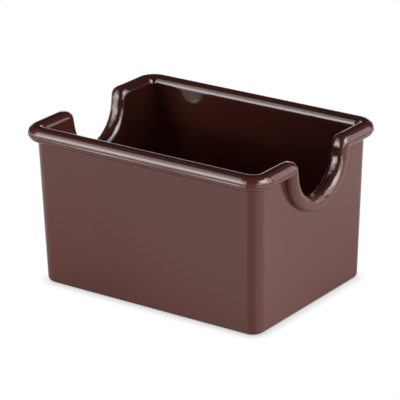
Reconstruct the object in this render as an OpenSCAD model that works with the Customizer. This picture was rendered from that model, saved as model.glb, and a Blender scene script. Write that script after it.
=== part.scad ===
// Sugar packet holder: an open box of glossy brown plastic, moulded in one piece.
// Its walls lean outwards, a round bead runs along the rim, and the rim dips into a
// thumb notch in the middle of each short end. The moulding is divided here into the
// regions that a toolmaker would name, which meet face to face and don't overlap.
// Millimetres, +Z up, +X to the right end, -Y to the front, origin under the middle.

/* [Box] */
// Outer length of the walls, taken at the top of the rim, along X
body_l = 100; // [80:0.5:150]
// Outer width of the walls, taken at the top of the rim, along Y
body_w = 74.2; // [60:0.1:110]
// Height from the table to the top of the rim
body_h = 62; // [40:0.5:90]
// Thickness of the walls
wall_t = 3.2; // [2.6:0.1:4]
// Thickness of the floor
floor_t = 3.2; // [2:0.1:5]
// Lean of the walls out of upright, in degrees
draft = 1.5; // [0.5:0.1:4]
// Outer radius of the upright corners
corner_r = 5; // [4:0.1:8]
// Radius of the outer edge under the floor
foot_r = 1.8; // [0.5:0.1:2.6]

/* [Rim bead] */
// How far the bead stands out from the wall
rim_out = 3.7; // [2.8:0.1:5]
// Height of the bead
rim_h = 5.8; // [4:0.1:7]
// Radius of the rim's round inner edge
rim_inner_r = 3; // [1:0.1:3.2]

/* [Thumb notches] */
// Radius of the round bottom of each notch
notch_r = 13.9; // [8:0.1:17]
// Straight length of each notch flank, between its bottom and its shoulder
flank_l = 3.6; // [2.5:0.1:8]
// Splay of the flanks, in degrees from upright
notch_splay = 10.5; // [0:0.5:25]
// Radius over the shoulders of each notch
shoulder_r = 3.6; // [3:0.1:6]

/* [Hidden] */
$fn = 96;
plastic = "#572D24";

// Directions that the four walls face, as turns about Z from +X
right = 0;
back = 90;
left = 180;
front = 270;

// Distance of each corner's axis from the two wall faces, at the top of the rim
axis_in = corner_r / cos(draft);
axis_x = body_l / 2 - axis_in;
axis_y = body_w / 2 - axis_in;
// A corner follows both leaning walls, so its axis leans along the diagonal
post_lean = atan(sqrt(2) * tan(draft));
// Length of that axis from the table to the top of the rim; the posts stop under the bead
post_l = body_h / cos(post_lean);
post_top = body_h - rim_h * cos(draft);
// How far the outside of the floor lies inside the wall's line at the top
floor_in = (body_h - floor_t) * tan(draft);
floor_x = body_l / 2 - floor_in;
floor_y = body_w / 2 - floor_in;

// Middle of the bead's outer half round, out from the wall face
bead_r = rim_h / 2;
bead_u = rim_out - bead_r;
// Thickness of the rim, from the inner face of the wall to the outside of the bead
rim_t = wall_t + rim_out;

// The notch, in the plane of its wall: s along the wall, v up the wall from the rim's top
flank_top_v = -shoulder_r * (1 - sin(notch_splay));
flank_foot_v = flank_top_v - flank_l * cos(notch_splay);
notch_v = flank_foot_v + notch_r * sin(notch_splay);
notch_arc = 90 - notch_splay;
flank_top_s = notch_r * cos(notch_splay) + flank_l * sin(notch_splay);
shoulder_s = flank_top_s + shoulder_r * cos(notch_splay);
// Underside of the bead around the notch, where the end wall stops
notch_under_r = notch_r + rim_h;
under_foot_s = notch_under_r * cos(notch_splay);
under_foot_v = notch_v - notch_under_r * sin(notch_splay);
under_top_s = under_foot_s - under_foot_v * tan(notch_splay);

// Wall frame: u (X) straight out of the wall, s (Y) along it, v (Z) up its slope,
// with the zero line on the outer face at the top of the rim
module wall_frame(turn, half) {
    rotate([0, 0, turn]) translate([half, 0, body_h]) rotate([0, draft, 0]) children();
}

// One quarter of the plan, given by the signs of X and Y
module quarter(sign_x, sign_y) {
    mirror([sign_x < 0 ? 1 : 0, 0, 0]) mirror([0, sign_y < 0 ? 1 : 0, 0]) children();
}

// Level slice of space between two heights, wider than the holder
module level_slice(low, high) {
    translate([-body_l, -body_w, low]) cube([2 * body_l, 2 * body_w, high - low]);
}

// Outline of a wall in (s, v), narrower at the foot because the corner axes lean
module wall_outline(half) {
    top_s = half - corner_r * cos(draft);
    foot_v = -body_h / cos(draft);
    polygon([
        [-top_s - foot_v * sin(draft), foot_v],
        [top_s + foot_v * sin(draft), foot_v],
        [top_s - rim_h * sin(draft), -rim_h],
        [-top_s + rim_h * sin(draft), -rim_h]
    ]);
}

// Room for the notch and its bead, taken out of an end wall
module notch_outline() {
    translate([0, notch_v]) circle(r = notch_under_r);
    polygon([
        [-under_foot_s, under_foot_v], [under_foot_s, under_foot_v],
        [under_top_s, 0], [-under_top_s, 0]
    ]);
}

// Turns an outline in (s, v) into a wall of the wall's thickness behind u = 0
module as_wall() {
    translate([-wall_t, 0, 0]) rotate([90, 0, 90]) linear_extrude(wall_t) children();
}

// Section of the rim in (u, v): narrow level top, round inner edge, half round outside
module rim_section() {
    difference() {
        translate([-wall_t, -rim_h]) square([wall_t + bead_u, rim_h]);
        translate([-wall_t, -rim_inner_r]) difference() {
            square(rim_inner_r);
            translate([rim_inner_r, 0]) circle(r = rim_inner_r);
        }
    }
    translate([bead_u, -bead_r]) intersection() {
        circle(r = bead_r);
        translate([0, -rim_h]) square(2 * rim_h);
    }
}

// Straight stretch of rim from one s to a higher one
module rim_bar(from_s, to_s) {
    translate([0, to_s, 0]) rotate([90, 0, 0]) linear_extrude(to_s - from_s) rim_section();
}

// Profile of the floor's edge: out from the corner axis, with the rounded foot
module floor_edge() {
    difference() {
        square([corner_r, floor_t]);
        translate([corner_r - foot_r, 0]) difference() {
            square(foot_r);
            translate([0, foot_r]) circle(r = foot_r);
        }
    }
}

// One quarter of the flat floor: the level part, two straight edges and the corner between them
module floor_quarter() {
    run_x = floor_x - corner_r;
    run_y = floor_y - corner_r;
    cube([run_x, run_y, floor_t]);
    translate([run_x, run_y, 0]) rotate([90, 0, 0]) linear_extrude(run_y) floor_edge();
    translate([0, run_y, 0]) rotate([90, 0, 90]) linear_extrude(run_x) floor_edge();
    translate([run_x, run_y, 0]) rotate_extrude(angle = 90) floor_edge();
}

// Flat floor with rounded corners and a rounded edge all round its underside
module floor_panel() {
    color(plastic) for (sign_x = [-1, 1], sign_y = [-1, 1]) quarter(sign_x, sign_y) floor_quarter();
}

// Plain long wall
module long_wall(turn) {
    color(plastic) intersection() {
        wall_frame(turn, body_w / 2) as_wall() wall_outline(body_l / 2);
        level_slice(floor_t, body_h);
    }
}

// Short end wall, cut away round the notch
module end_wall(turn) {
    color(plastic) intersection() {
        wall_frame(turn, body_l / 2) as_wall() difference() {
            wall_outline(body_w / 2);
            notch_outline();
        }
        level_slice(floor_t, body_h);
    }
}

// Quarter-round upright corner between two walls
module corner_post(sign_x, sign_y) {
    color(plastic) intersection() {
        quarter(sign_x, sign_y) translate([axis_x, axis_y, body_h])
            rotate([0, 0, 45]) rotate([0, post_lean, 0]) rotate([0, 0, -45])
            translate([0, 0, -post_l]) linear_extrude(post_l) intersection() {
                difference() {
                    circle(r = corner_r);
                    circle(r = corner_r - wall_t);
                }
                square(corner_r);
            }
        level_slice(floor_t, post_top);
    }
}

// Straight bead along a long wall
module long_rim(turn) {
    color(plastic) wall_frame(turn, body_w / 2) rim_bar(-axis_x, axis_x);
}

// Bead round a corner of the rim
module rim_corner(sign_x, sign_y) {
    color(plastic) quarter(sign_x, sign_y) translate([axis_x, axis_y, body_h])
        rotate_extrude(angle = 90) translate([axis_in, 0]) rotate(-draft) rim_section();
}

// Stretch of rim that runs from a shoulder's axis, which lies at the origin, towards +s.
// Below the axis its end is mitred, to meet the stretch on the shoulder's other side.
module mitred_bar(length) {
    difference() {
        translate([0, 0, shoulder_r]) rim_bar(0, length);
        translate([-rim_t, 0, 0]) rotate([90, 0, 90]) linear_extrude(2 * rim_t)
            polygon([[0, 0], [0, -rim_h], [rim_h * tan(notch_arc / 2), -rim_h]]);
    }
}

// Upper part of the rim's section, turned over a shoulder about its axis
module shoulder_turn() {
    rotate([0, 90, 0]) rotate([0, 0, 180]) rotate_extrude(angle = notch_arc) intersection() {
        translate([shoulder_r, 0]) mirror([1, -1]) rim_section();
        translate([0, -rim_t]) square(2 * rim_t);
    }
}

// Bead of an end wall from the corner over the shoulder and down the notch's flank,
// on the side of the wall that the sign of s gives
module end_rim(turn, sign_s) {
    color(plastic) wall_frame(turn, body_l / 2) mirror([0, sign_s < 0 ? 1 : 0, 0])
        translate([0, shoulder_s, -shoulder_r]) {
            mitred_bar(axis_y - shoulder_s);
            shoulder_turn();
            rotate([notch_arc, 0, 0]) mirror([0, 1, 0]) mitred_bar(flank_l);
        }
}

// Bead round the bottom of a notch
module notch_rim(turn) {
    color(plastic) wall_frame(turn, body_l / 2) translate([0, 0, notch_v])
        rotate([0, 90, 0]) rotate([0, 0, -notch_arc])
        rotate_extrude(angle = 2 * notch_arc) translate([notch_r, 0]) rotate(90) rim_section();
}

floor_panel();
long_wall(front);  // front_wall
long_wall(back);  // back_wall
end_wall(left);  // left_end_wall
end_wall(right);  // right_end_wall
corner_post(-1, -1);  // front_left_post
corner_post(1, -1);  // front_right_post
corner_post(-1, 1);  // back_left_post
corner_post(1, 1);  // back_right_post
long_rim(front);  // front_rim
long_rim(back);  // back_rim
rim_corner(-1, -1);  // front_left_rim_corner
rim_corner(1, -1);  // front_right_rim_corner
rim_corner(-1, 1);  // back_left_rim_corner
rim_corner(1, 1);  // back_right_rim_corner
end_rim(left, 1);  // left_rim_front
end_rim(left, -1);  // left_rim_back
notch_rim(left);  // left_notch_rim
end_rim(right, -1);  // right_rim_front
end_rim(right, 1);  // right_rim_back
notch_rim(right);  // right_notch_rim
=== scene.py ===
import math

import bpy
import numpy as np
from mathutils import Matrix


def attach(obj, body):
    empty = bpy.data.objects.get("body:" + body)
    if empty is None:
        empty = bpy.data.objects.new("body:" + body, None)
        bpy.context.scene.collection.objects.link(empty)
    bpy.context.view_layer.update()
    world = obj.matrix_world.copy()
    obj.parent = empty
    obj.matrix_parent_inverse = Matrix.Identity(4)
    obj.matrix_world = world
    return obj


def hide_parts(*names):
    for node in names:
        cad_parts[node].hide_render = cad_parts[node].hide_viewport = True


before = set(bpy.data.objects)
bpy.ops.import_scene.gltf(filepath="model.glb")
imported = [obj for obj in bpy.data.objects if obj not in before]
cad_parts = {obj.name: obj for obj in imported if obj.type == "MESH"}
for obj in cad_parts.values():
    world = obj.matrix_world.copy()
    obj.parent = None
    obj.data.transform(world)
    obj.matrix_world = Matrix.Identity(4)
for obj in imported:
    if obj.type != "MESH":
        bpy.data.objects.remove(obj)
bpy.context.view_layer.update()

# Camera of the photograph: a long lens about 0.9 m away and a little above the holder, which
# sees its front and its right end. Its angles and distance come from the holder's own edges.
azimuth, elevation, roll = (math.radians(angle) for angle in (35.43, 20.84, -0.71))
aim, set_back = (-0.00061, -0.00026, 0.03137), (0, -0.00008, 0.944)
camera = bpy.data.objects.new("camera", bpy.data.cameras.new("camera"))
camera.data.sensor_width, camera.data.lens = 36, 228.2
camera.matrix_world = (
    Matrix.Translation(aim)
    @ Matrix.Rotation(azimuth, 4, "Z") @ Matrix.Rotation(math.pi / 2 - elevation, 4, "X")
    @ Matrix.Rotation(roll, 4, "Z") @ Matrix.Translation(set_back))
bpy.context.scene.collection.objects.link(camera)
bpy.context.scene.camera = camera
bpy.context.scene.view_settings.view_transform = "Standard"


# Studio: a wide sheet of matt white paper under the holder, softboxes to the front left and to the
# right, white cards low round the sheet, and fills. The rest of the room is a dark grey.
def linear(code):
    """Linear red, green, blue and alpha of an sRGB hex colour."""
    share = np.array([int(code[i:i + 2], 16) for i in (1, 3, 5)]) / 255
    return (*np.where(share <= 0.04045, share / 12.92, ((share + 0.055) / 1.055) ** 2.4), 1.0)


def node(tree, kind, inputs=None, **settings):
    """Adds a node with its settings, and gives each named input a value or a link."""
    added = tree.nodes.new(kind)
    for name, value in settings.items():
        setattr(added, name, value)
    for name, value in (inputs or {}).items():
        if isinstance(value, bpy.types.NodeSocket):
            tree.links.new(value, added.inputs[name])
        else:
            added.inputs[name].default_value = value
    return added


# Matt white paper. The camera sees it as plain white, dimmed close round the holder's base, where
# the real sheet lies in contact shadow. Mirrored in the plastic it is white too, but greyer in that
# shadow, towards the holder, which keeps light off it, and in a sector from the front right corner
# towards the camera. Beside the holder it is best lit at the front right and least at the back left.
# All other rays see the lit paper.
contact_reach, contact_white = 0.004, 0.55
shade_reach, shade_white, open_white = 0.12, 0.18, 0.85
sector_tip, sector_turn, sector_core, sector_edge, sector_white = (0.046, -0.033, 0), 0.31, 0.05, 0.13, 0.6
lit_way, lit_from, least_lit, best_lit = (0.707, -0.707, 0), 0.055, 0.7, 1.15
beside, apart = 0.06, 0.16
paper = bpy.data.materials.new("paper_matt_white")
paper.use_nodes = True
tree = paper.node_tree
tree.nodes.clear()
rays = node(tree, "ShaderNodeLightPath").outputs
coords = node(tree, "ShaderNodeTexCoord").outputs["Object"]
contact = node(tree, "ShaderNodeAmbientOcclusion", {"Distance": contact_reach}, samples=16)
contact = node(tree, "ShaderNodeMapRange", {"Value": contact.outputs["AO"], "To Min": contact_white})
shade = node(tree, "ShaderNodeAmbientOcclusion", {"Distance": shade_reach}, samples=16)
shade = node(tree, "ShaderNodeMapRange", {
    "Value": shade.outputs["AO"], "To Min": shade_white, "To Max": open_white})
sector = node(tree, "ShaderNodeVectorMath", {0: coords, 1: sector_tip}, operation="SUBTRACT")
sector = node(tree, "ShaderNodeTexGradient", {"Vector": sector.outputs[0]}, gradient_type="RADIAL")
sector = node(tree, "ShaderNodeMath", {0: sector.outputs["Fac"], 1: sector_turn}, operation="SUBTRACT")
sector = node(tree, "ShaderNodeMath", {0: sector.outputs[0]}, operation="ABSOLUTE")
sector = node(tree, "ShaderNodeMapRange", {
    "Value": sector.outputs[0], "From Min": sector_core, "From Max": sector_edge,
    "To Min": sector_white}, interpolation_type="SMOOTHSTEP")
uneven = node(tree, "ShaderNodeVectorMath", {0: coords, 1: lit_way}, operation="DOT_PRODUCT")
uneven = node(tree, "ShaderNodeMapRange", {
    "Value": uneven.outputs["Value"], "From Min": 0.0, "From Max": lit_from,
    "To Min": least_lit, "To Max": best_lit}, interpolation_type="SMOOTHSTEP")
close = node(tree, "ShaderNodeVectorMath", {0: coords}, operation="LENGTH")
close = node(tree, "ShaderNodeMapRange", {
    "Value": close.outputs["Value"], "From Min": beside, "From Max": apart, "To Min": 1.0, "To Max": 0.0})
uneven = node(tree, "ShaderNodeMix", {"Factor": close.outputs[0], "A": 1.0, "B": uneven.outputs[0]})
mirrored = shade
for share in (sector, contact, uneven):
    mirrored = node(tree, "ShaderNodeMath", {
        0: mirrored.outputs[0], 1: share.outputs[0]}, operation="MULTIPLY")
white = node(tree, "ShaderNodeMix", {
    "Factor": rays["Is Camera Ray"], "A": mirrored.outputs[0], "B": contact.outputs[0]})
plain = node(tree, "ShaderNodeEmission", {"Color": linear("#FFFFFF"), "Strength": white.outputs[0]})
lit = node(tree, "ShaderNodeBsdfDiffuse", {"Color": linear("#E8E8E8")})
seen = rays["Is Camera Ray"]
for ray in ("Is Glossy Ray", "Is Transmission Ray"):
    seen = node(tree, "ShaderNodeMath", {0: seen, 1: rays[ray]}, operation="MAXIMUM").outputs[0]
mixed = node(tree, "ShaderNodeMixShader", {0: seen, 1: lit.outputs[0], 2: plain.outputs[0]})
node(tree, "ShaderNodeOutputMaterial", {"Surface": mixed.outputs[0]})

sheet_half, sheet_z = 3.0, -0.00005
sheet_mesh = bpy.data.meshes.new("paper_sheet")
sheet_mesh.from_pydata(
    [(x, y, sheet_z) for x, y in ((-sheet_half, -sheet_half), (sheet_half, -sheet_half),
                                  (sheet_half, sheet_half), (-sheet_half, sheet_half))],
    [], [(0, 1, 2, 3)])
sheet_mesh.materials.append(paper)
sheet = bpy.data.objects.new("paper_sheet", sheet_mesh)
bpy.context.scene.collection.objects.link(sheet)

# Each lamp: name, distance, sides and lower and upper edge in degrees seen from the holder's middle,
# radiance, and kind. A gloss lamp only shows as a highlight and a fill only lights the colour, which
# in a real studio takes polarised lamps. A lamp in front of another adds to it.
middle = np.array([0, 0, 0.03])
for name, reach, first, last, low, high, radiance, kind in (
        ("softbox_front_left", 1.2, -135, -118, -1, 34, 3.0, "both"),
        ("softbox_front_left_face", 1.25, -135, -118, -1, 34, 1.9, "gloss"),
        ("softbox_front_left_core", 1.2, -130, -102, 10, 26, 3.2, "gloss"),
        ("softbox_front_left_side", 1.2, -118, -87, -1, 29, 4.2, "gloss"),
        ("softbox_front_left_edge", 1.2, -146, -135, 2, 34, 3.2, "gloss"),
        ("softbox_front_left_upper", 1.2, -145, -131, 34, 53, 2.5, "gloss"),
        ("softbox_front_left_top", 1.2, -131, -92, 33, 45, 2.6, "gloss"),
        ("softbox_front_left_back", 1.2, -158, -145, 38, 57, 1.6, "gloss"),
        ("softbox_right", 1.2, -8, 22, 6, 17, 5.8, "both"),
        ("softbox_right_upper", 1.2, -22, 22, 17, 52, 7.2, "gloss"),
        ("softbox_right_core", 1.25, -8, 10, 22, 41, 3.0, "gloss"),
        ("softbox_right_side", 1.2, -36, -8, 4, 28, 2.8, "gloss"),
        ("softbox_right_back", 1.2, 22, 38, 4, 20, 3.0, "gloss"),
        ("softbox_right_high", 1.2, 22, 46, 20, 58, 3.4, "gloss"),
        ("card_left", 1.2, -165, -136, 0, 6, 3.5, "both"),
        ("card_right", 1.2, -45, 40, 0, 6, 3.6, "both"),
        ("card_right_near", 0.32, 39, 58, 0, 37, 1.75, "gloss"),
        ("backdrop", 1.2, 100, 150, 0, 12, 1.5, "both"),
        ("fill_front", 1.2, -165, -75, -1.4, 4.5, 18.9, "fill"),
        ("fill_right", 1.2, 0, 30, -1.4, 3.0, 74.0, "fill"),
        ("fill_above", 1.2, -60, 60, 70, 90, 1.45, "fill")):
    turn, rise = math.radians((first + last) / 2), math.radians((low + high) / 2)
    away = np.array([math.cos(turn) * math.cos(rise), math.sin(turn) * math.cos(rise), math.sin(rise)])
    across = 2 * reach * math.cos(rise) * math.tan(math.radians(last - first) / 2)
    upright = 2 * reach * math.tan(math.radians(high - low) / 2)
    lamp = bpy.data.lights.new(name, "AREA")
    lamp.shape, lamp.size, lamp.size_y = "RECTANGLE", across, upright
    lamp.energy = radiance * math.pi * across * upright
    softbox = bpy.data.objects.new(name, lamp)
    softbox.matrix_world = (
        Matrix.Translation(middle + reach * away) @ Matrix.Rotation(turn + math.pi / 2, 4, "Z")
        @ Matrix.Rotation(math.pi / 2 - rise, 4, "X"))
    softbox.visible_glossy, softbox.visible_diffuse = kind != "fill", kind != "gloss"
    bpy.context.scene.collection.objects.link(softbox)

world = bpy.data.worlds.new("dark_room")
bpy.context.scene.world = world
world.use_nodes = True
world.node_tree.nodes["Background"].inputs["Color"].default_value = linear("#383838")
world.node_tree.nodes["Background"].inputs["Strength"].default_value = 1.0


# Plastic of the whole holder: ABS, injection moulded in a polished tool. Its gloss mirrors the lamps
# with soft, slightly wavy edges, its brown is even but for faint cloudy flow, and a little pale dust
# lies on it.
plastic = bpy.data.materials.new("abs_brown_gloss_moulded")
plastic.use_nodes = True
tree = plastic.node_tree
shader = tree.nodes["Principled BSDF"]
shader.inputs["IOR"].default_value = 1.57
coords = node(tree, "ShaderNodeTexCoord").outputs["Object"]
# Flow of the melt: clouds of about 18 mm, a little lighter and darker than the mean brown
flow = node(tree, "ShaderNodeTexNoise", {"Vector": coords, "Scale": 55.0, "Detail": 3.0})
brown = node(tree, "ShaderNodeMix", {
    "Factor": flow.outputs[0], 6: linear("#4F2620"), 7: linear("#542922")}, data_type="RGBA")
# Dust: pale specks of about 0.3 mm, one in most cells of 9 mm
cell = node(tree, "ShaderNodeTexVoronoi", {"Vector": coords, "Scale": 110.0})
speck = node(tree, "ShaderNodeMapRange", {
    "Value": cell.outputs["Distance"], "From Min": 0.012, "From Max": 0.024, "To Min": 0.35, "To Max": 0.0})
dusty = node(tree, "ShaderNodeMix", {
    "Factor": speck.outputs[0], 6: brown.outputs[2], 7: linear("#B9A8A2")}, data_type="RGBA")
tree.links.new(dusty.outputs[2], shader.inputs["Base Color"])
# Polish: handling has dulled some patches of about 7 mm more than others
polish = node(tree, "ShaderNodeTexNoise", {"Vector": coords, "Scale": 140.0, "Detail": 2.0})
polish = node(tree, "ShaderNodeMapRange", {
    "Value": polish.outputs[0], "From Min": 0.3, "From Max": 0.7, "To Min": 0.05, "To Max": 0.10})
tree.links.new(polish.outputs[0], shader.inputs["Roughness"])
# Skin: waves of about 5 mm left by shrinkage, and orange peel, drawn coarser than real at 1.2 mm
wave = node(tree, "ShaderNodeTexNoise", {"Vector": coords, "Scale": 200.0, "Detail": 1.0})
peel = node(tree, "ShaderNodeTexNoise", {"Vector": coords, "Scale": 830.0, "Detail": 1.0})
peel = node(tree, "ShaderNodeBump", {"Height": peel.outputs[0], "Distance": 0.000002})
wave = node(tree, "ShaderNodeBump", {
    "Height": wave.outputs[0], "Distance": 0.000006, "Normal": peel.outputs[0]})
tree.links.new(wave.outputs[0], shader.inputs["Normal"])


# Floor panel: the flat bottom of the moulding, with a rounded edge where it stands on the table
# and a small hollow round inside, where it turns up into the walls.
length, width, height = 0.100, 0.0742, 0.062
wall, base, lean, corner = 0.0032, 0.0032, math.radians(1.5), 0.0050
corner_out = corner / math.cos(lean)
corner_in = (corner - wall) / math.cos(lean)


def round_box(sign_x, sign_y, angle, r, z, dr, dz):
    """Points and outward directions of a profile carried round the holder.
    Each corner of the plan is a quarter circle of radius r about an axis that leans outwards
    along both walls, so at height z its middle is the top one moved in by the fall times the
    lean. Signs and angle (0 on the end wall, 90 degrees on the long wall) run along the rows,
    r and z and their slopes along the columns. A direction is square to the turn and to the slope."""
    sign_x, sign_y, angle = (np.asarray(a, float).reshape(-1, 1) for a in (sign_x, sign_y, angle))
    r, z, dr, dz = (np.atleast_2d(np.asarray(a, float)) for a in (r, z, dr, dz))
    out_x, out_y = np.cos(angle), np.sin(angle)
    moved = (z - height) * math.tan(lean)
    points = np.stack(np.broadcast_arrays(
        sign_x * (length / 2 - corner_out + moved + r * out_x),
        sign_y * (width / 2 - corner_out + moved + r * out_y), z), -1)
    facing = np.stack(np.broadcast_arrays(
        sign_x * out_x * dz, sign_y * out_y * dz,
        -dr - math.tan(lean) * dz * (out_x + out_y)), -1)
    return points, facing / np.linalg.norm(facing, axis=-1, keepdims=True)


def moulded_piece(name, patches):
    """Makes one closed mesh out of grids of points with their outward directions.
    Each cell of a grid is two triangles, turned to face its directions. Equal points are merged,
    so that the grids' edges and poles close, and each corner keeps the direction of its grid."""
    corners, facing = [], []
    for points, normals in patches:
        normals = np.broadcast_to(normals, points.shape)
        for grid, kept in ((points, corners), (normals, facing)):
            a, b, c, d = grid[:-1, :-1], grid[1:, :-1], grid[1:, 1:], grid[:-1, 1:]
            kept.append(np.stack([a, b, c, a, c, d], 2).reshape(-1, 3, 3))
    corners, facing = np.concatenate(corners), np.concatenate(facing)
    turned = np.cross(corners[:, 1] - corners[:, 0], corners[:, 2] - corners[:, 0])
    inside_out = (turned * facing.sum(1)).sum(1) < 0
    corners[inside_out], facing[inside_out] = corners[inside_out, ::-1], facing[inside_out, ::-1]
    points, index = np.unique(np.round(corners.reshape(-1, 3), 7), axis=0, return_inverse=True)
    index = index.reshape(-1, 3)
    whole = (index != np.roll(index, 1, axis=1)).all(1)
    mesh = bpy.data.meshes.new(name)
    mesh.from_pydata(points, [], index[whole], shade_flat=False)
    mesh.normals_split_custom_set(facing[whole].reshape(-1, 3))
    mesh.materials.append(plastic)
    piece = bpy.data.objects.new(name, mesh)
    bpy.context.scene.collection.objects.link(piece)
    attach(piece, "root")
    return piece


# All round the plan: four corners of 24 steps each, and back to the first
step = np.radians(np.linspace(0, 90, 25))
plan_x = np.repeat([1, -1, -1, 1], len(step))
plan_y = np.repeat([1, 1, -1, -1], len(step))
plan_a = np.concatenate([step, step[::-1], step, step[::-1]])
plan_x, plan_y, plan_a = (np.append(a, a[0]) for a in (plan_x, plan_y, plan_a))

foot, cove = 0.0018, 0.0012
turn = np.radians(np.linspace(-90, 0, 13))
outer = round_box(
    plan_x, plan_y, plan_a,
    np.concatenate([[0], corner_out - foot + foot * np.cos(turn), [corner_out]]),
    np.concatenate([[0], foot + foot * np.sin(turn), [base]]),
    np.concatenate([[1], -np.sin(turn), [0]]),
    np.concatenate([[0], np.cos(turn), [1]]))
under = (np.stack([outer[0][:, 0], outer[0][:, 0] * [0, 0, 1]]), (0, 0, -1))
ledge = round_box(plan_x, plan_y, plan_a, [corner_in, corner_out], [base, base], [-1, -1], [0, 0])
turn = np.radians(np.linspace(0, 90, 13))
inner = round_box(
    plan_x, plan_y, plan_a,
    np.concatenate([corner_in - cove + cove * np.cos(turn), [0]]),
    np.concatenate([base + cove - cove * np.sin(turn), [base]]),
    np.concatenate([-np.sin(turn), [-1]]),
    np.concatenate([-np.cos(turn), [0]]))
behind = round_box(plan_x, plan_y, plan_a, [corner_in, corner_in], [base, base + cove], [0, 0], [1, 1])
top = (np.stack([inner[0][:, -1], inner[0][:, -1] * [0, 0, 1]]), (0, 0, 1))
floor = moulded_piece("floor_moulding", [outer, under, ledge, behind, inner, top])
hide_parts("floor_panel")


# Long walls: plain flat sides of the same brown plastic, moulded in one with the floor. They lean
# outwards so that the moulding leaves its tool.
rim_h = 0.0058
under_rim = height - rim_h * math.cos(lean)


def wall_patches(foot_out, top_out, top_in, foot_in, facing):
    """Closed solid between four rows of points along a wall: its outer foot and top, and its
    inner top and foot. The faces out and in have the given directions, the rest are flat."""
    along = np.array([foot_out[-1] - foot_out[0]])
    return [
        (np.stack([foot_out, top_out]), facing), (np.stack([foot_in, top_in]), -facing),
        (np.stack([top_out, top_in]), (0, 0, 1)), (np.stack([foot_out, foot_in]), (0, 0, -1)),
        (np.stack([[foot_out[0], top_out[0]], [foot_in[0], top_in[0]]]), -along),
        (np.stack([[foot_out[-1], top_out[-1]], [foot_in[-1], top_in[-1]]]), along)]


def wall_rows(sign_x, sign_y, angle):
    """Those four rows and their directions, for rows of signs and angles of the plan."""
    out, facing = round_box(sign_x, sign_y, angle, [corner_out] * 2, [base, under_rim], [0, 0], [1, 1])
    inner_top = under_rim + wall * math.sin(lean)
    inside, _ = round_box(sign_x, sign_y, angle, [corner_in] * 2, [base, inner_top], [0, 0], [1, 1])
    return out[:, 0], out[:, 1], inside[:, 1], inside[:, 0], facing[:, 0]


for side, sign in (("front", -1), ("back", 1)):
    rows = wall_rows([-1, 1], [sign, sign], np.radians([90, 90]))
    piece = moulded_piece(side + "_wall_moulding", wall_patches(*rows))
    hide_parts(side + "_wall")


# Short end walls: of the same plastic and moulded in one with the floor, as the long ones are, but cut
# away in the middle for the thumb notch and its bead.
notch_r, flank, splay, shoulder = 0.0139, 0.0036, math.radians(10.5), 0.0036
arc = math.pi / 2 - splay
flank_top_v = -shoulder * (1 - math.sin(splay))
notch_v = flank_top_v - flank * math.cos(splay) + notch_r * math.sin(splay)
shoulder_s = (notch_r + shoulder) * math.cos(splay) + flank * math.sin(splay)


def on_end(sign, u, s, v):
    """Points of an end wall's own frame: u out of its outer face, s along it, v up its slope from
    the rim's top. Sign is the end's side in X."""
    u, s, v = np.broadcast_arrays(u, s, v)
    return np.stack([
        sign * (length / 2 + u * math.cos(lean) + v * math.sin(lean)), s,
        height - u * math.sin(lean) + v * math.cos(lean)], -1)


notch_turn = np.linspace(-arc, arc, 73)
under_r = notch_r + rim_h
flank_s = under_r * math.cos(splay) + (
    -rim_h - notch_v + under_r * math.sin(splay)) * math.tan(splay)
for side, sign in (("left", -1), ("right", 1)):
    corner_rows = wall_rows([sign, sign], [-1, 1], [0, 0])
    edge_s = corner_rows[1][1, 1]
    s = np.concatenate([[-edge_s, -flank_s], under_r * np.sin(notch_turn), [flank_s, edge_s]])
    v = np.concatenate([[-rim_h, -rim_h], notch_v - under_r * np.cos(notch_turn), [-rim_h, -rim_h]])
    out_foot, out_top, in_top, in_foot, facing = corner_rows
    share = (s / edge_s + 1)[:, None] / 2
    rows = [
        out_foot[0] + (out_foot[1] - out_foot[0]) * share, on_end(sign, 0, s, v),
        on_end(sign, -wall, s, v), in_foot[0] + (in_foot[1] - in_foot[0]) * share,
        np.repeat(facing[:1], len(s), 0)]
    piece = moulded_piece(side + "_end_wall_moulding", wall_patches(*rows))
    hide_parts(side + "_end_wall")


# Corner posts: the quarter-round upright edges that join the walls, of the same plastic and thickness
# and moulded in one with them.
for name, sign_x, sign_y in (("front_left", -1, -1), ("front_right", 1, -1),
                             ("back_left", -1, 1), ("back_right", 1, 1)):
    ones = np.ones(len(step))
    rows = wall_rows(sign_x * ones, sign_y * ones, step)
    piece = moulded_piece(name + "_post_moulding", wall_patches(*rows))
    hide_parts(name + "_post")


# Rim: a round bead along the top of all the walls, moulded with them. Just under its widest it has a
# fine raised line, where the two halves of the tool met, in places more worn down than in others.
rim_out, edge, crease = 0.0037, 0.0030, 0.00012
parting_h, parting_w, parting_at = 0.00014, 5.0, -6.0
mean_sharp, sharp_swing, sharp_waves, sharp_shift, corner_sharp = 0.8, 0.2, 5.1, 0.33, 0.7
bead = rim_h / 2
bead_u = rim_out - parting_h - bead


def bow(middle_u, middle_v, r, angles, line=0.0):
    """Arc about a middle in the rim's section, and its outward directions with and without a raised
    line. That line adds its height times exp(-(angle from it / its width)^2) to the radius, and
    tilts the directions by the slope of that."""
    a, off = np.radians(angles), angles - parting_at
    swell = line * np.exp(-(off / parting_w) ** 2)
    tilt = -np.arctan2(-2 * off / parting_w ** 2 * swell * 180 / math.pi, r + swell)
    return np.stack([
        middle_u + (r + swell) * np.cos(a), middle_v + (r + swell) * np.sin(a),
        np.cos(a + tilt), np.sin(a + tilt), np.cos(a), np.sin(a)], -1)


pole = math.degrees(math.asin((bead - shoulder) / bead))
hollow = bow(crease, -rim_h - crease, crease, np.linspace(180, 90, 7))
hollow[:, 2:] *= -1
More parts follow.
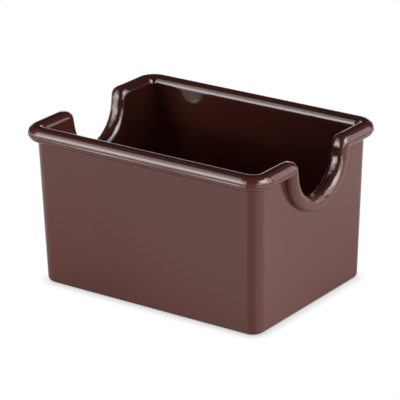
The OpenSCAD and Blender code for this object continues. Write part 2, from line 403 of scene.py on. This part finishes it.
# Steps round the bead, with one at the height of the shoulder's axis, and finer across the raised line
below = np.concatenate([np.linspace(-90, -24, 12), np.linspace(-22, pole, 12)])
above = np.concatenate([np.linspace(-13.5, 10, 48), np.linspace(12, 90, 24)])
section = np.concatenate([
    hollow, bow(bead_u, -bead, bead, np.concatenate([below, above]), parting_h),
    bow(edge - wall, -edge, edge, np.linspace(90, 180, 17)),
    [[-wall, -shoulder, -1, 0, -1, 0], [-wall, -rim_h, -1, 0, -1, 0]]])
hidden = np.array([[-wall, -rim_h], [0, -rim_h], [0, -rim_h - crease]])
core = np.array([crease / 2, -bead])


def lined(sharp):
    """Out and up parts of the section's directions, for rows of the raised line's sharpness from
    0, worn away, to 1, as new."""
    sharp = np.asarray(sharp, float).reshape(-1, 1)
    return (section[:, i] * sharp + section[:, i + 2] * (1 - sharp) for i in (2, 3))


def rim_patches(place, skin_facing, start, stop):
    """Closed stretch of rim: its section's skin, its hidden seat on the wall, and two flat ends.
    Place gives the points of section points, skin_facing the directions of the skin."""
    skin, seat = place(section[:, :2]), place(hidden)
    middles = place(core[None])[:, 0]
    patches = [(skin, skin_facing)]
    for first in (0, 1):
        strip = seat[:, first:first + 2]
        patches.append((strip, strip.mean(1, keepdims=True) - middles[:, None]))
    for row, direction in ((0, start), (-1, stop)):
        ring = np.concatenate([skin[row], seat[row, 1:]])
        patches.append((np.stack([ring, np.broadcast_to(middles[row], ring.shape)]), direction))
    return patches


def round_rim(sign_x, sign_y, angle, sharp):
    """Stretch of rim that follows the plan: a section point u out of the wall and v up it lies on
    a corner circle of radius (corner + u) / cos lean, at a height of v cos lean - u sin lean. Along
    a long wall the X sign runs from -1 to 1. Sharp is the raised line's along the rows."""
    def place(points):
        r = (corner + points[:, 0]) / math.cos(lean)
        z = height - points[:, 0] * math.sin(lean) + points[:, 1] * math.cos(lean)
        return round_box(sign_x, sign_y, angle, r, z, 0 * r, 1 + 0 * z)[0]
    out, up = lined(sharp)
    dr = -up / math.cos(lean)
    dz = out * math.cos(lean) + up * math.sin(lean)
    return place, round_box(sign_x, sign_y, angle, 0 * section[:, 0], 0 * section[:, 0], dr, dz)[1]


along = np.linspace(-1, 1, 81)
long_sharp = mean_sharp + sharp_swing * np.cos(sharp_waves * (along + sharp_shift))
for side, sign in (("front", -1), ("back", 1)):
    place, skin_facing = round_rim(along, 0 * along + sign, 0 * along + math.pi / 2, long_sharp)
    piece = moulded_piece(side + "_rim_moulding", rim_patches(place, skin_facing, (-1, 0, 0), (1, 0, 0)))
    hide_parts(side + "_rim")

for name, sign_x, sign_y in (("front_left", -1, -1), ("front_right", 1, -1),
                             ("back_left", -1, 1), ("back_right", 1, 1)):
    ones = np.ones(len(step))
    place, skin_facing = round_rim(sign_x * ones, sign_y * ones, step, corner_sharp * ones)
    piece = moulded_piece(name + "_rim_corner_moulding",
                          rim_patches(place, skin_facing, (0, -sign_y, 0), (-sign_x, 0, 0)))
    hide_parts(name + "_rim_corner")


# Ends of the rim: from each corner the bead runs level, turns over a shoulder and goes down the
# notch's flank. Under the shoulder, where there is no room for the turn, the two meet in a mitre.
# Polishing of the tool has eased the curves into each other and taken the raised line away.
foot_t = arc * notch_r
knot_t = np.array([0, foot_t, foot_t + flank, foot_t + flank + shoulder * arc])
ease, fade_from, fade_to = 0.0026, -0.001, 0.012
easing = np.linspace(-ease, ease, 41)


def section_facing(sign_x, sign_y, t):
    """Directions of the section's skin in the end wall's frame, t along the rim from the notch's
    bottom: out of the wall as in the section, and up turned towards the notch. The turn grows round
    the notch, stays along the flank and falls to 0 over the shoulder, and is a mean of the turns a
    few millimetres to both sides. The raised line wears off towards the notch."""
    knots = np.concatenate([-knot_t[:0:-1], knot_t])
    turns = np.array([0, -arc, -arc, 0, arc, arc, 0])
    turn = np.interp(t[:, None] + easing, knots, turns).mean(1)[:, None]
    out, up = lined(np.interp(t, knot_t[-1] + np.array([fade_from, fade_to]), [0, corner_sharp]))
    facing = on_end(sign_x, out, -up * np.sin(turn), up * np.cos(turn)) - on_end(sign_x, 0, 0, 0)
    return facing * [1, sign_y, 1]


def end_rim(sign_x, sign_y):
    """Stretch of rim from a corner down to the foot of a flank, in the end wall's frame.
    A section point that lies above the shoulder's axis turns about it, and one that lies e below
    it stays on the mitre, e times the tangent of half the turn away from the axis. The level
    stretch and the flank run straight between their ends."""
    turn = np.linspace(0, arc, 25)[:, None]
    level, down = np.linspace(0, 1, 16), np.linspace(0, 1, 9)

    def place(points):
        u, v = points.T
        over, past = np.maximum(shoulder + v, 0), np.maximum(-shoulder - v, 0)
        s = shoulder_s - over * np.sin(turn) + past * math.tan(arc / 2)
        up = -shoulder + over * np.cos(turn) - past
        turned = on_end(sign_x, u, s, up) * [1, sign_y, 1]
        first = round_rim([sign_x], [sign_y], [0], [0])[0](points)
        last = on_end(sign_x, u, (notch_r - v) * np.sin(arc), notch_v - (notch_r - v) * np.cos(arc))
        return np.concatenate([
            first + (turned[:1] - first) * level[:-1, None, None], turned,
            turned[-1:] + (last * [1, sign_y, 1] - turned[-1:]) * down[1:, None, None]])

    level_l = width / 2 - corner_out - shoulder_s
    t = np.concatenate([knot_t[3] + level_l * (1 - level[:-1]), knot_t[3] - shoulder * turn[:, 0],
                        knot_t[2] - flank * down[1:]])
    return place, section_facing(sign_x, sign_y, t)


for end, sign_x in (("left", -1), ("right", 1)):
    for side, sign_y in (("front", -1), ("back", 1)):
        place, skin_facing = end_rim(sign_x, sign_y)
        piece = moulded_piece(end + "_rim_" + side + "_moulding", rim_patches(
            place, skin_facing, (0, sign_y, 0), (0, -sign_y * math.sin(splay), -math.cos(splay))))
        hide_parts(end + "_rim_" + side)


# Notch rims: the bead round the bottom of each thumb notch, which fingers run along to lift packets.
# It is moulded in one with the end wall under it.
def notch_rim(sign_x):
    """Stretch of rim round the notch's bottom: a section point v up lies on a circle of radius
    notch_r - v about the notch's middle, in the end wall's frame."""
    turn = notch_turn[:, None]

    def place(points):
        u, v = points.T
        return on_end(sign_x, u, (notch_r - v) * np.sin(turn), notch_v - (notch_r - v) * np.cos(turn))

    return place, section_facing(sign_x, 1, turn[:, 0] * notch_r)


for end, sign_x in (("left", -1), ("right", 1)):
    place, skin_facing = notch_rim(sign_x)
    ends = [(0, sign * math.sin(splay), math.cos(splay)) for sign in (-1, 1)]
    piece = moulded_piece(end + "_notch_rim_moulding", rim_patches(place, skin_facing, *ends))
    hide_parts(end + "_notch_rim")
